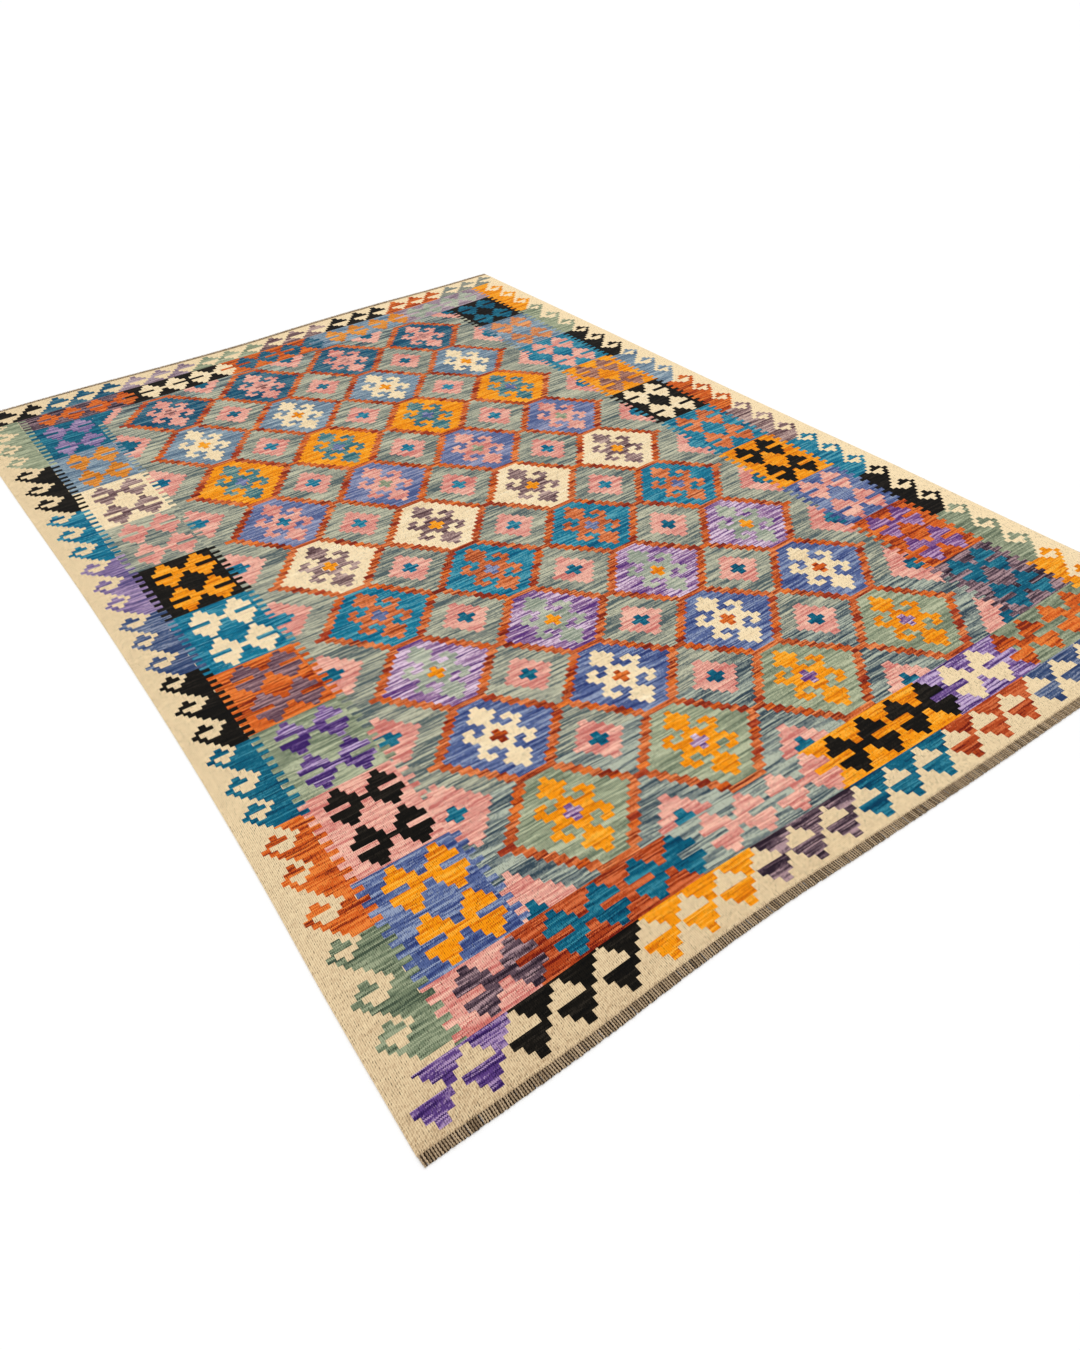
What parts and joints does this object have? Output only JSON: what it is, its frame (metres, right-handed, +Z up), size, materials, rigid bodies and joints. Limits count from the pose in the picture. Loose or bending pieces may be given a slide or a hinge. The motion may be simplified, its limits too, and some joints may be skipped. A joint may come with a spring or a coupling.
{
  "type": "kilim rug",
  "caption": "Flat-woven wool kilim rug with a field of stepped medallions, boxed and hooked borders and a short cut fringe at each end, lying flat on the floor.",
  "frame": {"origin": "on the floor, under the middle of the whole rug's box, fringes included", "axes": "+X along the weft across the rug's width, +Y along the warp from the near end to the far end, +Z up from the floor"},
  "size_m": [2.056, 3.0301, 0.004],
  "materials": {
    "wool_weave": "weft-faced wool tapestry weave, matt, in many dyed yarns on a cream ground",
    "warp_fringe": "loose ends of the dark and pale undyed wool warps, matt"
  },
  "bodies": {
    "root": {"kilim_cloth": "wool_weave", "fringe_near": "warp_fringe", "fringe_far": "warp_fringe"}
  },
  "joints": []
}
